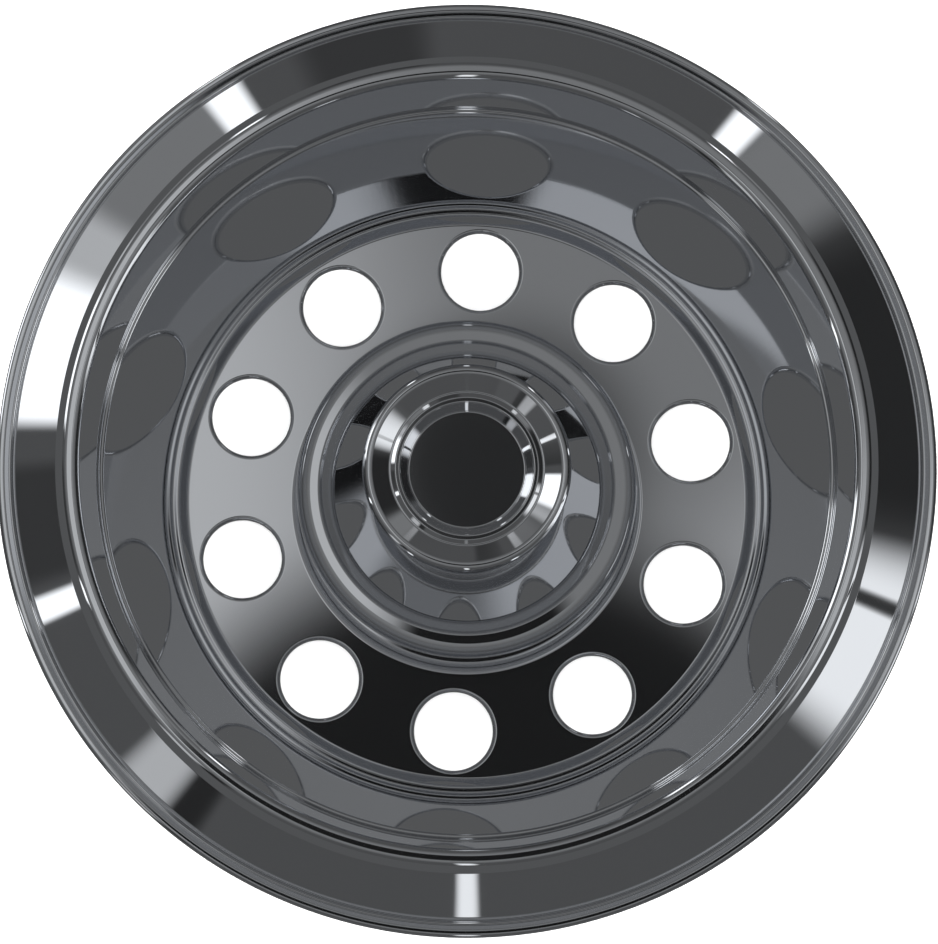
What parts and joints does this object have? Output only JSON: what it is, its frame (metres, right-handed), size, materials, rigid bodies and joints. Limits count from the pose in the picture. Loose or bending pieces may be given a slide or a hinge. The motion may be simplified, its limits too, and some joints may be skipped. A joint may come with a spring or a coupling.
{
  "type": "truck wheel simulator",
  "caption": "Polished pressed-steel wheel simulator for a truck's rear dual wheel: hooked lip, proud bead, deep dish with round hand holes, and a stepped dome over the nuts and axle end.",
  "frame": {"origin": "centre of the surface that the part rests on when it lies on its back: the wheel's axis, level with the ends of the turned-back hand-hole edges", "axes": "+Z along the wheel's axis towards the side that is seen on the truck, +Y to the top of the wheel, +X to the right as seen from +Z"},
  "size_m": [0.5228, 0.5228, 0.1927],
  "materials": {
    "polished_steel": "mirror polished"
  },
  "bodies": {
    "root": {"wheel_cover": "polished_steel"}
  },
  "joints": []
}
